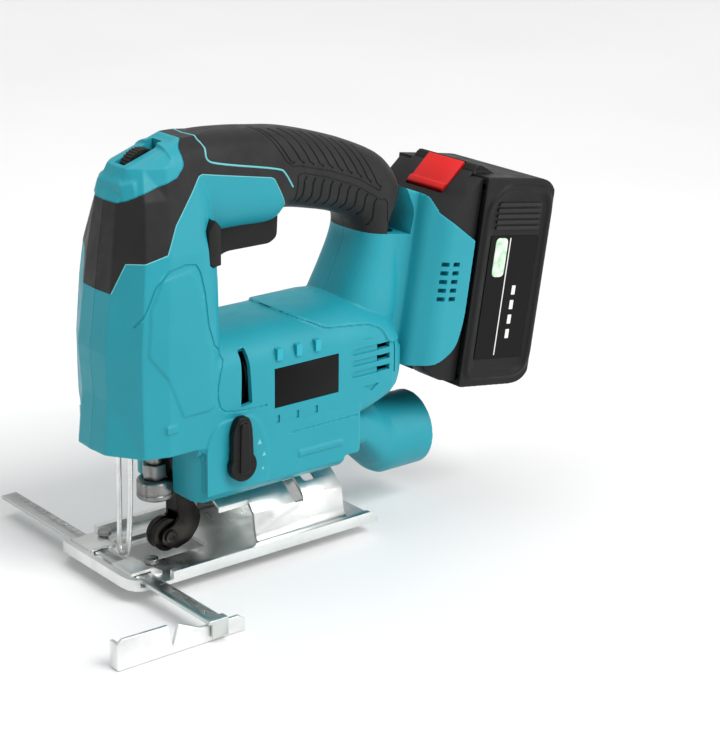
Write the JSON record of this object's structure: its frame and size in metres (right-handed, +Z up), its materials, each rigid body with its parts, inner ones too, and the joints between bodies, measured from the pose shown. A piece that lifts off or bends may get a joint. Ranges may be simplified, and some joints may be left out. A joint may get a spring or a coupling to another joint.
{
  "type": "cordless jigsaw",
  "caption": "Cordless jigsaw with D-handle, slide-on battery, bevelling shoe, orbital lever, blade roller, parallel guide and dust port.",
  "frame": {"origin": "centre of the shoe's sole, the flat underside that rests on the work", "axes": "+X forward in the cutting direction, +Y to the tool's left, +Z up, away from the sole"},
  "size_m": [0.3157, 0.1934, 0.2216],
  "materials": {
    "housing_teal": "moulded nylon, fine spark-eroded texture, teal",
    "grip_black": "soft overmoulded grip, black",
    "black_plastic": "glass-filled nylon, black",
    "label_black": "printed label film, black, blank",
    "battery_black": "moulded battery case, dark grey",
    "battery_red": "moulded release button, red",
    "cell_grey": "wrapped cells in their frame",
    "zinc_sheet": "bright zinc-plated pressed steel",
    "steel_bright": "machined steel",
    "steel_black": "black oxide steel",
    "copper": "copper and sintered bronze",
    "aluminium_cast": "die-cast aluminium",
    "board_green": "circuit board"
  },
  "bodies": {
    "housing": {"housing_left": "housing_teal", "housing_right": "housing_teal", "grip_left": "grip_black", "grip_right": "grip_black", "top_cap": "housing_teal", "label_plate": "label_black", "housing_screw_1": "steel_black", "housing_screw_2": "steel_black", "housing_screw_3": "steel_black", "housing_screw_4": "steel_black", "housing_screw_5": "steel_black", "housing_screw_6": "steel_black", "housing_screw_7": "steel_black", "trigger_pin": "steel_bright", "speed_board": "board_green", "switch_module": "black_plastic", "motor_can": "steel_bright", "motor_end_cap": "black_plastic", "brush_left": "copper", "brush_right": "copper", "front_bearing": "steel_bright", "rear_bearing": "steel_bright", "gear_axle": "steel_bright", "gear_case": "aluminium_cast", "lower_bush": "copper", "upper_bush": "copper", "guard_wire": "zinc_sheet", "bevel_plate": "steel_bright", "bevel_bolt": "steel_bright", "terminal_block": "black_plastic"},
    "trigger": {"trigger": "black_plastic"},
    "lock_button": {"lock_button": "black_plastic"},
    "speed_dial": {"speed_dial": "black_plastic"},
    "orbital": {"orbital_lever": "black_plastic", "orbital_cam": "steel_bright"},
    "rotor": {"motor_shaft": "steel_bright", "rotor_core": "steel_black", "commutator": "copper", "cooling_fan": "black_plastic", "pinion": "steel_bright"},
    "drive_gear": {"drive_gear": "steel_bright"},
    "plunger": {"plunger": "steel_bright", "clamp_body": "steel_black"},
    "clamp_collar": {"clamp_collar": "steel_bright"},
    "holder": {"roller_holder": "steel_black", "roller_screw": "steel_bright"},
    "guide_roller": {"guide_roller": "steel_black"},
    "shoe": {"shoe_plate": "zinc_sheet", "saddle_bracket": "zinc_sheet", "bar_screw_left": "steel_black", "bar_screw_right": "steel_black"},
    "guide": {"guide_bar": "zinc_sheet", "fence": "zinc_sheet"},
    "battery": {"battery_case": "battery_black", "battery_front": "black_plastic", "battery_label": "label_black", "cell_pack": "cell_grey"},
    "battery_button": {"battery_button": "battery_red"},
    "dust_port": {"dust_port": "housing_teal"}
  },
  "joints": [
    {"name": "trigger_pull", "type": "hinge", "parent": "housing", "child": "trigger", "pos_m": [-0.027, 0, 0.17], "axis": [0, -1, 0], "range_deg": [0, 8], "stiffness_Nm_per_rad": 0.6, "springref_deg": -8.59},
    {"name": "lock_press", "type": "slide", "parent": "housing", "child": "lock_button", "axis": [0, -1, 0], "range_m": [0, 0.003], "stiffness_N_per_m": 200, "springref_m": -0.002},
    {"name": "speed_turn", "type": "hinge", "parent": "housing", "child": "speed_dial", "pos_m": [0.0428, 0, 0.1995], "axis": [0, 1, 0], "range_deg": [-120, 120]},
    {"name": "orbital_turn", "type": "hinge", "parent": "housing", "child": "orbital", "pos_m": [0.011, 0, 0.052], "axis": [0, 1, 0], "range_deg": [-90, 0]},
    {"name": "rotor_spin", "type": "hinge", "parent": "housing", "child": "rotor", "pos_m": [-0.02, 0, 0.088], "axis": [1, 0, 0], "continuous": true},
    {"name": "drive_gear_spin", "type": "hinge", "parent": "housing", "child": "drive_gear", "pos_m": [0.0245, 0, 0.1105], "axis": [1, 0, 0], "continuous": true},
    {"name": "plunger_stroke", "type": "slide", "parent": "housing", "child": "plunger", "axis": [0, 0, 1], "range_m": [-0.01, 0.01]},
    {"name": "collar_turn", "type": "hinge", "parent": "plunger", "child": "clamp_collar", "pos_m": [0.039, 0, 0.036], "axis": [0, 0, 1], "range_deg": [0, 60], "stiffness_Nm_per_rad": 0.02, "springref_deg": -17.19},
    {"name": "holder_swing", "type": "hinge", "parent": "housing", "child": "holder", "pos_m": [0.025, 0, 0.062], "axis": [0, 1, 0], "range_deg": [-0.8, 2], "stiffness_Nm_per_rad": 2},
    {"name": "roller_spin", "type": "hinge", "parent": "holder", "child": "guide_roller", "pos_m": [0.034, 0, 0.0092], "axis": [0, 1, 0], "continuous": true},
    {"name": "shoe_bevel", "type": "hinge", "parent": "housing", "child": "shoe", "pos_m": [0, 0, 0], "axis": [1, 0, 0], "range_deg": [-45, 45]},
    {"name": "guide_slide", "type": "slide", "parent": "shoe", "child": "guide", "axis": [0, 1, 0], "range_m": [-0.044, 0.06]},
    {"name": "battery_slide", "type": "slide", "parent": "housing", "child": "battery", "axis": [-0.149, 0, 0.9888], "range_m": [0, 0.09]},
    {"name": "battery_button_press", "type": "slide", "parent": "battery", "child": "battery_button", "axis": [-0.6368, 0, -0.771], "range_m": [0, 0.0025], "stiffness_N_per_m": 300, "springref_m": -0.002},
    {"name": "dust_port_pull", "type": "slide", "parent": "housing", "child": "dust_port", "axis": [-1, 0, 0], "range_m": [0, 0.02]}
  ],
  "couplings": [
    {"joint": "drive_gear_spin", "follows": "rotor_spin", "ratio": -0.25}
  ]
}
